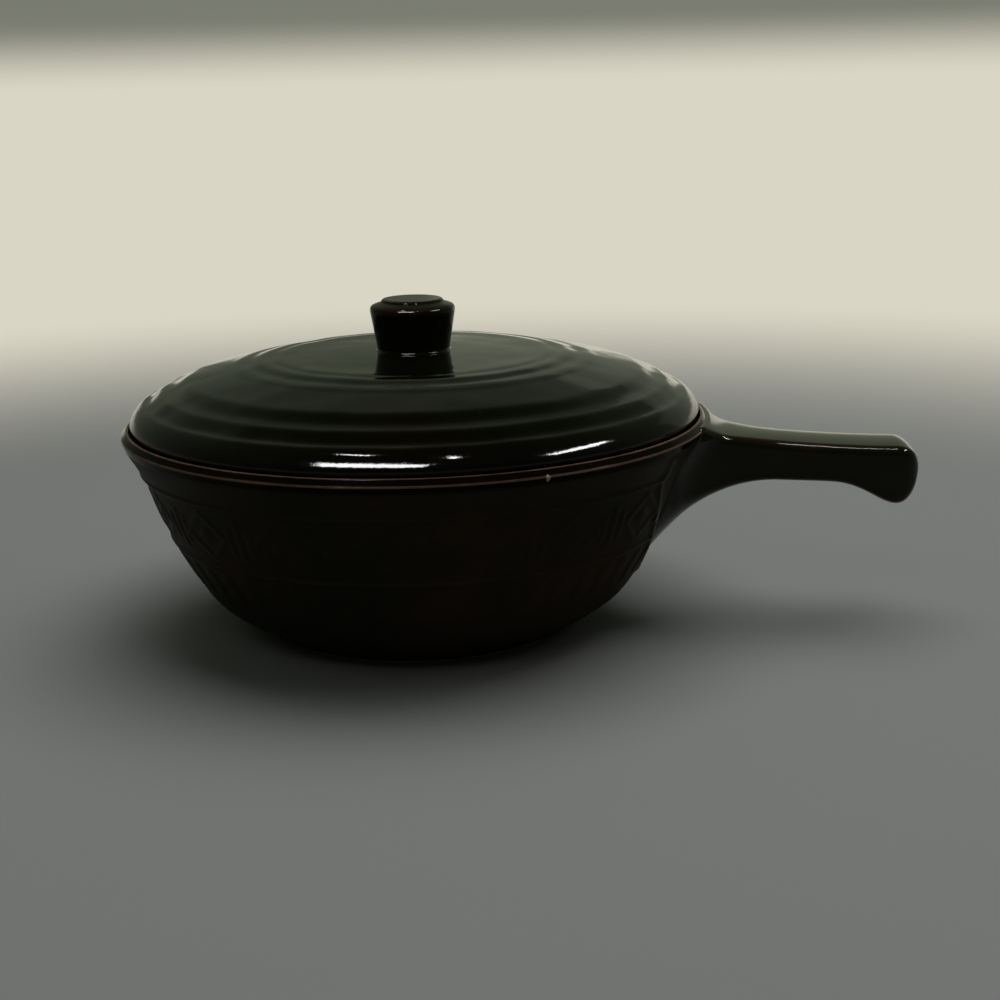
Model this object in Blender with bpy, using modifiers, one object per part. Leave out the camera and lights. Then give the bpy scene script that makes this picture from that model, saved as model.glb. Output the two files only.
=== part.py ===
"""A round covered casserole dish with one side handle, in glazed stoneware.

The bowl stands on a flat foot, and its rim holds a ledge that the lid sits on.
The handle is a pressed piece stuck to the bowl's wall, and the knob is one
stuck to the lid. The lid is loose and lifts straight up.

Metres, +Z up. The origin is the middle of the foot's underside, and the handle
points along +X.
"""

import math

import bmesh
import bpy

# How finely round shapes are turned
TURN_STEPS = 64
KNOB_STEPS = 40
CORNER_STEPS = 5
CROWN_STEPS = 2
ROUND_STEPS = 3
SHARP_ANGLE = math.radians(35)
MERGE_DISTANCE = 0.00001

# Clearances
SEAT_GAP = 0.0003
LID_CLEARANCE = 0.0005
FLANGE_CLEARANCE = 0.0014
FLANGE_ROOM = 0.0010
CUTTER_OVERRUN = 0.02

# Bowl
RIM_RADIUS = 0.1016
BOWL_HEIGHT = 0.071
FOOT_RADIUS = 0.0545
FOOT_BEVEL = 0.0012
WALL = 0.0056
FLOOR = 0.007
FLOOR_FILLET = 0.012
LIP_RISE = 0.0024
LIP_INSET = 0.0020
LIP_THICKNESS = 0.0028
LIP_ROUND = 0.0008
LEDGE_DEPTH = 0.0030
LEDGE_WIDTH = 0.0075
BEAD_HEIGHT = 0.0007
BEAD_WIDTH = 0.0026

# Outer wall from foot to rim: height, and how far out from the foot's radius
WALL_SHARES = (
    (0.00, 0.000),
    (0.05, 0.085),
    (0.12, 0.255),
    (0.20, 0.405),
    (0.35, 0.548),
    (0.50, 0.669),
    (0.65, 0.764),
    (0.80, 0.843),
    (0.90, 0.925),
    (0.96, 0.978),
    (1.00, 1.000),
)
# Heights of the turned rings of the outer wall, apart from the two beads
RING_SHARES = (
    0.98, 0.95, 0.91, 0.87, 0.76, 0.70, 0.64, 0.58,
    0.45, 0.39, 0.33, 0.27, 0.22, 0.18, 0.13, 0.08, 0.04,
)
BEAD_SHARES = (0.834, 0.511)
# Heights of the inner wall's rings, between the floor's fillet and the throat
INNER_SHARES = (0.18, 0.36, 0.54, 0.72, 0.88)

# Lid
LID_HEIGHT = 0.0277
LID_WALL = 0.0052
LID_EDGE_HEIGHT = 0.0067
LID_EDGE_TAPER = 0.0012
LID_EDGE_ROUND = 0.0008
FLANGE_DEPTH = 0.0050
FLANGE_THICKNESS = 0.0040
FLANGE_ROUND = 0.0010

# Top of the lid from the knob's seat to the edge: how far out, and how far down
LID_SHARES = (
    (0.135, 0.016),
    (0.345, 0.041),
    (0.392, 0.051),
    (0.439, 0.065),
    (0.486, 0.109),
    (0.544, 0.150),
    (0.603, 0.212),
    (0.731, 0.333),
    (0.790, 0.442),
    (0.813, 0.486),
    (0.860, 0.537),
    (0.906, 0.660),
    (0.930, 0.697),
    (0.953, 0.734),
    (0.977, 0.821),
    (0.992, 0.900),
)

# Knob
KNOB_BASE_RADIUS = 0.0124
KNOB_TOP_RADIUS = 0.0150
KNOB_HEIGHT = 0.0150
KNOB_FILLET = 0.0012
KNOB_ROUND = 0.0018
KNOB_SEAT_MARGIN = 0.0018
KNOB_SHOULDER_RISE = 0.0013
KNOB_DISC_RADIUS = 0.0105
KNOB_DISC_HEIGHT = 0.0011
KNOB_DISC_ROUND = 0.0008

# Handle
HANDLE_REACH = 0.0714
HANDLE_WIDTH = 0.0236
HANDLE_UNDER_WIDTH = 0.0220
HANDLE_THICKNESS = 0.0140
HANDLE_CROWN = 0.0007
HANDLE_DROP = 0.0060
HANDLE_FALL = 0.0021
HANDLE_UNDER_FALL = 0.0015
HANDLE_EDGE_WIDTH = 0.0030
HANDLE_EDGE_DEPTH = 0.0046
HANDLE_UNDER_RADIUS = 0.0040
# The most that the two roundings of a side take of the section's depth and of its half width
EDGE_ROUND_SHARE = 0.35
UNDER_ROUND_SHARE = 0.60
SIDE_ROUND_SHARE = 0.92

# Where the handle spreads on to the bowl's wall
ROOT_START = 0.0245
ROOT_BITE = 0.0050
ROOT_POWER = 2.3
ROOT_RISE = 0.0077
ROOT_DEPTH = 0.0318
ROOT_DEPTH_POWER = 2.1
ROOT_UNDER_SPREAD = 0.0280
ROOT_UNDER_ROUND = 0.0210
TOP_SPREAD = 0.0135
TOP_SPREAD_START = 0.0360
TOP_SPREAD_LENGTH = 0.0460

# Where the handle swells and ends
TIP_SWELL = 0.0070
TIP_SWELL_LENGTH = 0.0260
TIP_SWELL_POWER = 1.6
TIP_LENGTH = 0.0078
TIP_TOP_ROUND = 0.0077
TIP_END_DEPTH = 0.0020
TIP_END_WIDTH = 0.0080
ROOT_STATIONS = 14
NECK_STATIONS = 4
SWELL_STATIONS = 7
TIP_STATIONS = 6

# Places that follow from the sizes, measured from the foot
LEDGE_Z = BOWL_HEIGHT - LEDGE_DEPTH
CREST_Z = BOWL_HEIGHT + LIP_RISE
CREST_RADIUS = RIM_RADIUS - LIP_INSET
LIP_INNER_RADIUS = RIM_RADIUS - LIP_THICKNESS
THROAT_RADIUS = LIP_INNER_RADIUS - LEDGE_WIDTH
THROAT_Z = LEDGE_Z - FLANGE_DEPTH - FLANGE_ROOM
LID_SEAT_Z = LEDGE_Z + SEAT_GAP
LID_RADIUS = LIP_INNER_RADIUS - LID_CLEARANCE
FLANGE_RADIUS = THROAT_RADIUS - FLANGE_CLEARANCE
KNOB_SEAT_RADIUS = KNOB_BASE_RADIUS + KNOB_SEAT_MARGIN
HANDLE_TOP_Z = BOWL_HEIGHT - HANDLE_DROP


def smooth_value(table, place):
    """Read a smooth curve through a table of places and values."""
    last = len(table) - 1
    index = 0
    while index < last - 1 and table[index + 1][0] < place:
        index += 1
    (x0, y0), (x1, y1) = table[index], table[index + 1]
    before = table[max(index - 1, 0)]
    after = table[min(index + 2, last)]
    slope0 = (y1 - before[1]) / (x1 - before[0])
    slope1 = (after[1] - y0) / (after[0] - x0)
    step = x1 - x0
    t = (place - x0) / step
    rise = (y1 - y0) * (3 - 2 * t) * t * t
    return y0 + rise + slope0 * step * t * (1 - t) ** 2 - slope1 * step * t * t * (1 - t)


def wall_radius(height):
    """Outer radius of the bowl at a height, without its beads."""
    out = smooth_value(WALL_SHARES, height / BOWL_HEIGHT)
    return FOOT_RADIUS + (RIM_RADIUS - FOOT_RADIUS) * out


def arc(centre, width, depth, start, end, steps):
    """Points on an arc of an ellipse in the profile's plane, angles in degrees."""
    points = []
    for step in range(steps + 1):
        angle = math.radians(start + (end - start) * step / steps)
        points.append((centre[0] + width * math.cos(angle), centre[1] + depth * math.sin(angle)))
    return points


def bowl_outside():
    """Outer profile of the bowl, from the rim's edge down to the foot."""
    rings = [(BOWL_HEIGHT, 0)]
    for share in RING_SHARES:
        rings.append((share * BOWL_HEIGHT, 0))
    for share in BEAD_SHARES:
        middle = share * BOWL_HEIGHT
        rings.append((middle + BEAD_WIDTH / 2, 0))
        rings.append((middle, BEAD_HEIGHT))
        rings.append((middle - BEAD_WIDTH / 2, 0))
    rings.sort(reverse=True)
    profile = [(wall_radius(height) + bead, height) for height, bead in rings]
    profile.append((FOOT_RADIUS, FOOT_BEVEL))
    profile.append((FOOT_RADIUS - FOOT_BEVEL, 0))
    return profile


def bowl_profile():
    """Closed section of the bowl, from the middle of its floor over the rim to the foot."""
    profile = [(0, FLOOR)]
    for step in range(CORNER_STEPS + 1):
        turn = math.pi / 2 * step / CORNER_STEPS
        height = FLOOR + FLOOR_FILLET * (1 - math.cos(turn))
        profile.append((wall_radius(height) - WALL - FLOOR_FILLET * (1 - math.sin(turn)), height))
    fillet_top = FLOOR + FLOOR_FILLET
    for share in INNER_SHARES:
        height = fillet_top + (THROAT_Z - fillet_top) * share
        profile.append((wall_radius(height) - WALL, height))
    profile.append((THROAT_RADIUS, THROAT_Z))
    profile.append((THROAT_RADIUS, LEDGE_Z))
    profile.append((LIP_INNER_RADIUS, LEDGE_Z))
    profile.append((LIP_INNER_RADIUS, CREST_Z - LIP_ROUND))
    profile.append((CREST_RADIUS - LIP_ROUND / 2, CREST_Z))
    profile.append((CREST_RADIUS + LIP_ROUND / 2, CREST_Z - LIP_ROUND / 4))
    profile += bowl_outside()
    profile.append((0, 0))
    return profile


def lid_top():
    """Top of the lid above its seat, from its middle to the top of its edge."""
    points = [(0, LID_HEIGHT), (KNOB_SEAT_RADIUS, LID_HEIGHT)]
    for out, down in LID_SHARES:
        radius = KNOB_SEAT_RADIUS + (LID_RADIUS - KNOB_SEAT_RADIUS) * out
        points.append((radius, LID_HEIGHT - (LID_HEIGHT - LID_EDGE_HEIGHT) * down))
    points.append((LID_RADIUS, LID_EDGE_HEIGHT))
    return points


def lid_profile():
    """Closed section of the lid above its seat, over its top and back under its dome."""
    top = lid_top()
    profile = list(top)
    seat_radius = LID_RADIUS - LID_EDGE_TAPER
    profile.append((seat_radius, LID_EDGE_ROUND))
    profile.append((seat_radius - LID_EDGE_ROUND, 0))
    profile.append((FLANGE_RADIUS, 0))
    profile.append((FLANGE_RADIUS, FLANGE_ROUND - FLANGE_DEPTH))
    profile.append((FLANGE_RADIUS - FLANGE_ROUND, -FLANGE_DEPTH))
    flange_inside = FLANGE_RADIUS - FLANGE_THICKNESS
    profile.append((flange_inside + FLANGE_ROUND, -FLANGE_DEPTH))
    profile.append((flange_inside, FLANGE_ROUND - FLANGE_DEPTH))
    profile.append((flange_inside, LID_EDGE_HEIGHT))
    # The underside of the dome follows every second ring of its top
    for radius, height in reversed(top[2:-1:2]):
        if radius < flange_inside - LID_WALL / 2:
            profile.append((radius, height - LID_WALL))
    profile.append((0, LID_HEIGHT - LID_WALL))
    return profile


def knob_profile():
    """Closed section of the knob above its base: a cone, wider above, a sloping shoulder and a low disc."""
    shoulder_top = KNOB_HEIGHT + KNOB_SHOULDER_RISE
    disc_top = shoulder_top + KNOB_DISC_HEIGHT
    disc_edge = (KNOB_DISC_RADIUS - KNOB_DISC_ROUND, disc_top - KNOB_DISC_ROUND)
    cone_edge = (KNOB_TOP_RADIUS - KNOB_ROUND, KNOB_HEIGHT - KNOB_ROUND)
    profile = [(0, disc_top)]
    profile += arc(disc_edge, KNOB_DISC_ROUND, KNOB_DISC_ROUND, 90, 0, ROUND_STEPS)
    profile.append((KNOB_DISC_RADIUS, shoulder_top))
    profile += arc(cone_edge, KNOB_ROUND, KNOB_ROUND, 90, 0, ROUND_STEPS)
    profile.append((KNOB_BASE_RADIUS, KNOB_FILLET + KNOB_ROUND))
    profile.append((KNOB_BASE_RADIUS + KNOB_FILLET / 4, KNOB_FILLET))
    profile.append((KNOB_BASE_RADIUS + KNOB_FILLET, 0))
    profile.append((0, 0))
    return profile


def cutter_profile():
    """The bowl's outside made fuller by the seat's gap, to cut the handle's root."""
    top = CREST_Z + CUTTER_OVERRUN
    outside = bowl_outside()
    profile = [(0, top), (outside[0][0] + SEAT_GAP, top)]
    profile += [(radius + SEAT_GAP, height) for radius, height in outside]
    profile.append((0, 0))
    return profile


def handle_lines(x):
    """Heights of the handle's top line, which falls from the root and levels out, and of its underside's line."""
    out = (x - ROOT_START) / (HANDLE_REACH - ROOT_START)
    out_from_rim = max(out, -ROOT_START / (HANDLE_REACH - ROOT_START))
    return HANDLE_FALL * ((1 - out_from_rim) ** 2 - 1), -HANDLE_UNDER_FALL * out - HANDLE_THICKNESS


def root_x():
    """Where the handle starts, inside the wall at the height that its root reaches down to."""
    lowest = HANDLE_TOP_Z - HANDLE_THICKNESS - ROOT_DEPTH
    return wall_radius(lowest) - ROOT_BITE - RIM_RADIUS


def handle_stations():
    """Places along the handle, out from the rim, closer where it bends and where it ends."""
    start = root_x()
    tip_start = HANDLE_REACH - TIP_LENGTH
    swell_start = tip_start - TIP_SWELL_LENGTH
    places = []
    for step in range(ROOT_STATIONS):
        places.append(start + (ROOT_START - start) * step / ROOT_STATIONS)
    for step in range(NECK_STATIONS):
        places.append(ROOT_START + (swell_start - ROOT_START) * step / NECK_STATIONS)
    for step in range(SWELL_STATIONS):
        places.append(swell_start + TIP_SWELL_LENGTH * step / SWELL_STATIONS)
    for step in range(TIP_STATIONS + 1):
        places.append(tip_start + TIP_LENGTH * math.sin(math.pi / 2 * step / TIP_STATIONS))
    return places


def handle_section(x):
    """Rounded section of the handle at x, as a ring of points in space."""
    tip_start = HANDLE_REACH - TIP_LENGTH
    toward_root = max((ROOT_START - x) / (ROOT_START - root_x()), 0)
    root = toward_root**ROOT_POWER
    spread = min(max((TOP_SPREAD_START - x) / TOP_SPREAD_LENGTH, 0), 1) ** ROOT_POWER
    swell = min(max((x - tip_start + TIP_SWELL_LENGTH) / TIP_SWELL_LENGTH, 0), 1) ** TIP_SWELL_POWER
    swell = swell * swell * (3 - 2 * swell)
    end = 1 - math.sqrt(max(1 - max((x - tip_start) / TIP_LENGTH, 0) ** 2, 0))
    top_line, under_line = handle_lines(x)
    top = top_line + ROOT_RISE * root - TIP_TOP_ROUND * end
    root_depth = ROOT_DEPTH * toward_root**ROOT_DEPTH_POWER
    under_round_up = HANDLE_THICKNESS + TIP_SWELL - TIP_TOP_ROUND - TIP_END_DEPTH
    under = under_line - root_depth - TIP_SWELL * swell + under_round_up * end
    narrowing = 1 - (1 - TIP_END_WIDTH / HANDLE_WIDTH) * end
    half_top = HANDLE_WIDTH / 2 * narrowing + TOP_SPREAD * spread
    half_under = HANDLE_UNDER_WIDTH / 2 * narrowing + ROOT_UNDER_SPREAD * root
    depth = top - under
    half = (half_top + half_under) / 2
    side_room = min(half_top, half_under) * SIDE_ROUND_SHARE
    edge_width = min(HANDLE_EDGE_WIDTH, side_room)
    edge_depth = min(HANDLE_EDGE_DEPTH, depth * EDGE_ROUND_SHARE)
    under_round = min(HANDLE_UNDER_RADIUS + ROOT_UNDER_ROUND * root, depth * UNDER_ROUND_SHARE, side_room)
    outline = [((half - edge_width) * step / CROWN_STEPS, top) for step in range(CROWN_STEPS)]
    outline += arc((half - edge_width, top - edge_depth), edge_width, edge_depth, 90, 0, CORNER_STEPS)
    outline += arc((half - under_round, under + under_round), under_round, under_round, 0, -90, CORNER_STEPS)
    outline += [(-across, height) for across, height in reversed(outline[1:])]
    ring = []
    for across, height in outline:
        fullness = (half_under + (half_top - half_under) * (height - under) / depth) / half
        upper_share = max(1 - (top - height) / edge_depth, 0)
        crown = HANDLE_CROWN * narrowing * upper_share * (1 - (across / half) ** 2)
        ring.append((x, across * fullness, height + crown))
    return ring


def make_material(name, colour, roughness, coat):
    """A glazed clay material."""
    material = bpy.data.materials.new(name)
    material.use_nodes = True
    material.diffuse_color = colour
    shader = material.node_tree.nodes["Principled BSDF"]
    shader.inputs["Base Color"].default_value = colour
    shader.inputs["Roughness"].default_value = roughness
    shader.inputs["Metallic"].default_value = 0
    shader.inputs["Coat Weight"].default_value = coat
    return material


def finish_mesh(mesh, material):
    """Smooth shading, with sharp edges kept where the shape turns hard."""
    mesh.materials.append(material)
    mesh.shade_smooth()
    mesh.set_sharp_from_angle(angle=SHARP_ANGLE)


def turned(name, profile, steps, material, collection):
    """Turn a profile about the Z axis into one solid."""
    mesh = bpy.data.meshes.new(name)
    points = [(radius, 0, height) for radius, height in profile]
    edges = [(i, i + 1) for i in range(len(profile) - 1)]
    mesh.from_pydata(points, edges, [])
    turned_object = bpy.data.objects.new(name, mesh)
    collection.objects.link(turned_object)
    screw = turned_object.modifiers.new("turn", "SCREW")
    screw.axis = "Z"
    screw.angle = math.tau
    screw.steps = steps
    screw.render_steps = steps
    screw.use_merge_vertices = True
    screw.merge_threshold = MERGE_DISTANCE
    screw.use_smooth_shade = True
    mesh.materials.append(material)
    return turned_object


def lofted(name, rings, material, collection):
    """Join rings of points into one closed solid."""
    mesh = bpy.data.meshes.new(name)
    body = bmesh.new()
    loops = [[body.verts.new(point) for point in ring] for ring in rings]
    count = len(rings[0])
    for near, far in zip(loops, loops[1:]):
        for i in range(count):
            j = (i + 1) % count
            body.faces.new((near[i], near[j], far[j], far[i]))
    body.faces.new(reversed(loops[0]))
    body.faces.new(loops[-1])
    bmesh.ops.recalc_face_normals(body, faces=body.faces)
    body.to_mesh(mesh)
    body.free()
    finish_mesh(mesh, material)
    lofted_object = bpy.data.objects.new(name, mesh)
    collection.objects.link(lofted_object)
    return lofted_object


def cut(piece, cutter):
    """Take the cutter's shape out of a piece."""
    boolean = piece.modifiers.new("cut", "BOOLEAN")
    boolean.operation = "DIFFERENCE"
    boolean.solver = "EXACT"
    boolean.object = cutter


def new_collection(name):
    """A collection under the scene's own."""
    collection = bpy.data.collections.new(name)
    bpy.context.scene.collection.children.link(collection)
    return collection


def clear_scene():
    """Remove what the file opened with."""
    for old in list(bpy.data.objects):
        bpy.data.objects.remove(old, do_unlink=True)


def build():
    """Make the four pieces and the handle's cutter."""
    clear_scene()
    parts = new_collection("covered_casserole_dish")
    cutters = new_collection("cutters")
    bowl_glaze = make_material("bowl_glaze", (0.020, 0.012, 0.009, 1), 0.12, 0.5)
    handle_glaze = make_material("handle_glaze", (0.024, 0.012, 0.009, 1), 0.12, 0.5)
    lid_glaze = make_material("lid_glaze", (0.022, 0.016, 0.012, 1), 0.10, 0.5)
    knob_glaze = make_material("knob_glaze", (0.035, 0.012, 0.008, 1), 0.12, 0.5)

    bowl = turned("bowl", bowl_profile(), TURN_STEPS, bowl_glaze, parts)
    lid = turned("lid", lid_profile(), TURN_STEPS, lid_glaze, parts)
    lid.location = (0, 0, LID_SEAT_Z)
    knob = turned("knob", knob_profile(), KNOB_STEPS, knob_glaze, parts)
    knob.parent = lid
    knob.location = (0, 0, LID_HEIGHT + SEAT_GAP)

    rings = [handle_section(x) for x in handle_stations()]
    handle = lofted("handle", rings, handle_glaze, parts)
    handle.parent = bowl
    handle.location = (RIM_RADIUS, 0, HANDLE_TOP_Z)
    wall_cutter = turned("wall_cutter", cutter_profile(), TURN_STEPS, bowl_glaze, cutters)
    wall_cutter.hide_render = True
    wall_cutter.display_type = "WIRE"
    cut(handle, wall_cutter)


build()
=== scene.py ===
"""The looks of a round covered casserole dish in dark glazed stoneware.

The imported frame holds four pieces: bowl, handle, lid and knob. Each is replaced
by a finer mesh of the same shape, with rounded edges, raised lines, a relief
band, terraces that waver as turned clay does, and a glaze that thins on edges.

Metres, +Z up. The origin is the middle of the foot's underside, and the handle
points along +X.
"""

import math
from collections import namedtuple

import bpy
import numpy as np
from mathutils import Matrix, Vector, noise


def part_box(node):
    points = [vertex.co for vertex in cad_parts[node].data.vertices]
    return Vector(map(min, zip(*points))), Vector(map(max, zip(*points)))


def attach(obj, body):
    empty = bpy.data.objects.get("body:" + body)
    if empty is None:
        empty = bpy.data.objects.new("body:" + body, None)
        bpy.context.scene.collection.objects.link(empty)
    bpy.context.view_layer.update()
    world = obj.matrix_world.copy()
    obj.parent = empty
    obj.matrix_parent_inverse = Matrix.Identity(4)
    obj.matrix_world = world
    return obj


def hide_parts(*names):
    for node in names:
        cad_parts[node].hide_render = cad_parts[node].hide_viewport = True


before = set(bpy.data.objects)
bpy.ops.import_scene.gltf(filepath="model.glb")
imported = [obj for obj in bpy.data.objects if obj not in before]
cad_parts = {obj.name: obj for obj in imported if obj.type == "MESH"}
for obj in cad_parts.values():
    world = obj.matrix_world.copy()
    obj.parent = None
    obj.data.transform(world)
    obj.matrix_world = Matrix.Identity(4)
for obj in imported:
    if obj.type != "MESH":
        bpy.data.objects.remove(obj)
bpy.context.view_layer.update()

# Sizes read from the frame
RIM_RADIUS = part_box("bowl")[1].x
CREST_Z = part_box("bowl")[1].z
LID_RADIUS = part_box("lid")[1].x
LID_CROWN_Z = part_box("lid")[1].z
FLANGE_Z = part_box("lid")[0].z
KNOB_DISC_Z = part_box("knob")[1].z
TIP_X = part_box("handle")[1].x

# How finely the meshes are made
BOWL_STEPS = 768
LID_STEPS = 512
KNOB_STEPS = 192
ROUND_STEPS = 7
WALL_RING = 0.00055
LID_RING = 0.0008
LIP_RING = 0.0004
PLAIN_RING = 0.0025

# Bowl
LIP_RISE = 0.0024
FOOT_RADIUS = 0.0545
FOOT_BEVEL = 0.0012
WALL = 0.0056
FLOOR = 0.007
FLOOR_FILLET = 0.012
LIP_INSET = 0.0020
LIP_EDGE_INSET = 0.00015
LIP_EDGE_HEIGHT = 0.0004
LIP_THICKNESS = 0.0028
LEDGE_DEPTH = 0.0030
LEDGE_WIDTH = 0.0075
LEDGE_ROUND = 0.0009
CREST_ROUND = 0.0010
RIM_ROUND = 0.0004
FOOT_RING_WIDTH = 0.0060
FOOT_RECESS = 0.0007
BEAD_HEIGHT = 0.0007
BEAD_WIDTH = 0.0026
BEAD_SHARES = (0.834, 0.511)

# Outer wall from foot to rim: height, and how far out from the foot's radius
WALL_SHARES = (
    (0.00, 0.000),
    (0.05, 0.085),
    (0.12, 0.255),
    (0.20, 0.405),
    (0.35, 0.548),
    (0.50, 0.669),
    (0.65, 0.764),
    (0.80, 0.843),
    (0.90, 0.925),
    (0.96, 0.978),
    (1.00, 1.000),
)

# Relief on the wall: lozenges and bars in a band, flutes in a border below it
RELIEF_HEIGHT = 0.00042
RELIEF_EDGE = 0.0018
LOZENGES = 18
LOZENGE_HALF_WIDTH = 0.0098
LOZENGE_HALF_HEIGHT = 0.0080
LOZENGE_RIDGE = 0.0017
LOZENGE_CORE_SHARE = 0.36
BAR_HALF_WIDTH = 0.0011
BAR_HALF_LENGTH = 0.0060
SIDE_BAR_HALF_LENGTH = 0.0036
BAR_SPACING = 0.0042
FLUTES = 54
FLUTE_HALF_WIDTH = 0.0027
FLUTE_HALF_LENGTH = 0.0032
FLUTE_GAP = 0.0085

# Smooth patch of wall round the handle's root, wider above, with a low ridge of slip at its edge
PATCH_TURN = math.radians(28)
PATCH_LOW_Z = 0.018
PATCH_POWER = 0.37
PATCH_EDGE = math.radians(1.2)
PATCH_RIDGE_WIDTH = math.radians(1.5)
PATCH_RIDGE_HEIGHT = 0.0009
PATCH_WOBBLE = math.radians(1.5)
PATCH_WOBBLE_LENGTH = 0.010
PATCH_RIDGE_GLOSS = 0.6
PATCH_RIDGE_FADE = 0.0025

# Lid
LID_WALL = 0.0052
LID_EDGE_HEIGHT = 0.0067
LID_EDGE_TAPER = 0.0012
LID_EDGE_ROUND = 0.0010
FLANGE_DEPTH = 0.0050
FLANGE_THICKNESS = 0.0040
FLANGE_ROUND = 0.0010
FLANGE_CORNER_ROUND = 0.0030
FLANGE_CLEARANCE = 0.0014
FLANGE_ROOM = 0.0010
LID_CURVE_STEPS = 3000
LID_RING_POWER = 0.8

# Slope of the lid's top from its middle to its edge: share of the radius, and degrees down
LID_SLOPES = (
    (0.000, 0),
    (0.150, 0.6),
    (0.250, 2),
    (0.370, 2),
    (0.440, 0.4),
    (0.462, 2),
    (0.486, 9.5),
    (0.506, 0),
    (0.524, 3.5),
    (0.552, 16.5),
    (0.588, 4.5),
    (0.613, 9.5),
    (0.632, 17.5),
    (0.654, 12.5),
    (0.775, 13),
    (0.813, 31),
    (0.828, 28.5),
    (0.849, 17),
    (0.871, 12.5),
    (0.897, 36),
    (0.911, 36),
    (0.942, 12.5),
    (0.966, 39),
    (0.981, 50),
    (0.991, 58.5),
    (0.996, 64.5),
    (1.000, 79),
)

# How far the lid's terraces waver, and over what length
WAVER = 0.0009
WAVER_TURNS = 1.4
RIPPLE = 0.0005
RIPPLE_LENGTH = 0.012
LUMP = 0.00012
LUMP_LENGTH = 0.011
WALL_LUMP_LENGTH = 0.0176
STILL_RADIUS = 0.017
STILL_EDGE = 0.0045

# Where each use of the noise starts, so that none repeats another
NOISE_STARTS = {"patch": 2, "waver": 3, "lid lumps": 5, "wall lumps": 7, "ripple": 11}

# Knob
KNOB_BASE_RADIUS = 0.0124
KNOB_TOP_RADIUS = 0.0150
KNOB_SHOULDER_DROP = 0.0024
KNOB_DISC_RADIUS = 0.0103
KNOB_DISC_STEP = 0.0010
KNOB_DISC_ROUND = 0.0013
KNOB_CREASE_ROUND = 0.0008
KNOB_ROUND = 0.0021
KNOB_FOOT_ROUND = 0.0010
KNOB_FOOT_FLARE = 0.0016
KNOB_SINK = 0.0002

# Handle
HANDLE_WIDTH = 0.0236
HANDLE_UNDER_WIDTH = 0.0220
HANDLE_THICKNESS = 0.0140
HANDLE_CROWN = 0.0007
HANDLE_DROP = 0.0060
HANDLE_FALL = 0.0021
HANDLE_UNDER_FALL = 0.0015
HANDLE_EDGE_WIDTH = 0.0021
HANDLE_EDGE_DEPTH = 0.0032
HANDLE_UNDER_RADIUS = 0.0040
EDGE_ROUND_SHARE = 0.35
UNDER_ROUND_SHARE = 0.60
SIDE_ROUND_SHARE = 0.92
ROOT_START = 0.0245
ROOT_BITE = 0.0050
ROOT_POWER = 2.3
ROOT_RISE = 0.0077
ROOT_DEPTH = 0.0318
ROOT_DEPTH_POWER = 2.1
ROOT_UNDER_SPREAD = 0.0280
ROOT_UNDER_ROUND = 0.0210
ROOT_FILLET = 0.0080
ROOT_FILLET_SHARE = 0.6
ROOT_FILLET_POWER = 2.5
ROOT_TOP_BELOW_CREST = 0.0010
ROOT_SINK = 0.0015
LEAST_LEAN = 0.2
LEAST_UPWARD = 0.1
TOP_SPREAD = 0.0135
TOP_SPREAD_START = 0.0250
TOP_SPREAD_LENGTH = 0.0350
TIP_SWELL = 0.0070
TIP_SWELL_LENGTH = 0.0260
TIP_SWELL_POWER = 1.6
TIP_LENGTH = 0.0078
TIP_TOP_ROUND = 0.0077
TIP_END_DEPTH = 0.0020
TIP_END_WIDTH = 0.0080
HANDLE_CORNER_STEPS = 12
HANDLE_SIDE_STEPS = 8
HANDLE_STATION = 0.0007
TIP_STATIONS = 26
CAP_RINGS = 4

# Glaze: thin where the surface turns outward sharply, and thinnest from this mean turn, in 1/m
THIN_CURVE = 1300
THINNING = {"bowl": 1.5, "handle": 1.1, "lid": 0.25, "knob": 1.0}
GLOSS = {"bowl": 0.03, "handle": 0.13, "lid": 0.20, "knob": 0.13}
EVENING_ROUNDS = 2
LEAST_LENGTH = 1e-6
SATIN = 0.38
SATIN_BELOW_RIM = 0.0015
INSIDE_SATIN = 0.35

# Chip in the rim's glaze
CHIP_TURN = math.radians(-59.5)
CHIP_Z = 0.0706
CHIP_WIDTH = 0.0008
CHIP_STRETCH = 1.9
CHIP_REACH = 1.5

# Colours of the glaze and the clay
DARK = {
    "bowl": (0.0022, 0.0022, 0.0010, 1),
    "handle": (0.0105, 0.0105, 0.0045, 1),
    "lid": (0.0020, 0.0022, 0.0010, 1),
    "knob": (0.0050, 0.0070, 0.0022, 1),
}
RED = {
    "bowl": (0.0060, 0.0032, 0.0018, 1),
    "handle": (0.0190, 0.0110, 0.0055, 1),
    "lid": (0.0040, 0.0022, 0.0013, 1),
    "knob": (0.0100, 0.0055, 0.0025, 1),
}
DARK_SATIN = (0.0135, 0.0145, 0.0062, 1)
RED_SATIN = (0.0300, 0.0175, 0.0100, 1)
BROWN = (0.028, 0.0115, 0.0058, 1)
TAN = (0.125, 0.080, 0.057, 1)
CLAY = (0.42, 0.33, 0.25, 1)
CLAY_DARK = (0.28, 0.21, 0.155, 1)

# Patterns in the glaze, from broad to fine
TONE = {"Scale": 17, "Detail": 4, "Roughness": 0.6}
CLOUDS = {"Scale": 60, "Detail": 5, "Roughness": 0.6}
MOTTLE = {"Scale": 420, "Detail": 4, "Roughness": 0.65}
GRAIN = {"Scale": 2600, "Detail": 3, "Roughness": 0.6}

# Where on its pattern, or on the thin glaze, each change of colour starts and ends
GLOSSY_STOPS = (0.46, 0.72)
SATIN_STOPS = (0.44, 0.66)
THIN_STOPS = (0.16, 0.46)
EDGE_STOPS = (0.42, 0.85)
CLAY_STOPS = (0.35, 0.60)

# How unevenly the glaze thins, and how raggedly it ends at bare clay
CLOUD_SHARE = 0.75
UNEVEN_MIDDLE = 0.45
BARE_RAG = 0.5
BARE_FROM = 0.75

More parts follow.
